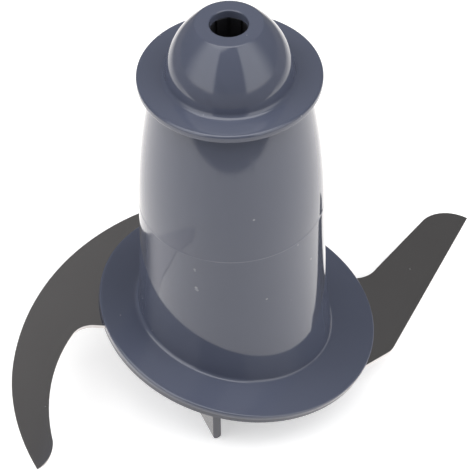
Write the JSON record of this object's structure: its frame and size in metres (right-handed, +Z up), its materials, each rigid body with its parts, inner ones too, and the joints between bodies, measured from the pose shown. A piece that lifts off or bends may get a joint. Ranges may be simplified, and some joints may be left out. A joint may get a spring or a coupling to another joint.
{
  "type": "food processor blade",
  "caption": "Tall moulded food processor hub with a brim and a slanted flange, holding a flat steel blade with one curved and one straight wing.",
  "frame": {"origin": "on the hub's axis, in the plane of the base tube's lower ring, which the part stands on", "axes": "+Z up along the hub's axis; the flange and the blade slope down towards +X, turned 4 degrees to -Y; the straight wing is on the +X side and the curved one on the -X side"},
  "size_m": [0.1343, 0.1191, 0.127],
  "materials": {
    "hub_plastic": "gloss, blue-grey",
    "plate_plastic": "gloss, blue-grey",
    "blade_steel": "satin, dark grey",
    "sleeve_plastic": "matte, black"
  },
  "bodies": {
    "root": {"hub": "hub_plastic", "base_plate": "plate_plastic", "blade": "blade_steel", "drive_sleeve": "sleeve_plastic"}
  },
  "joints": []
}
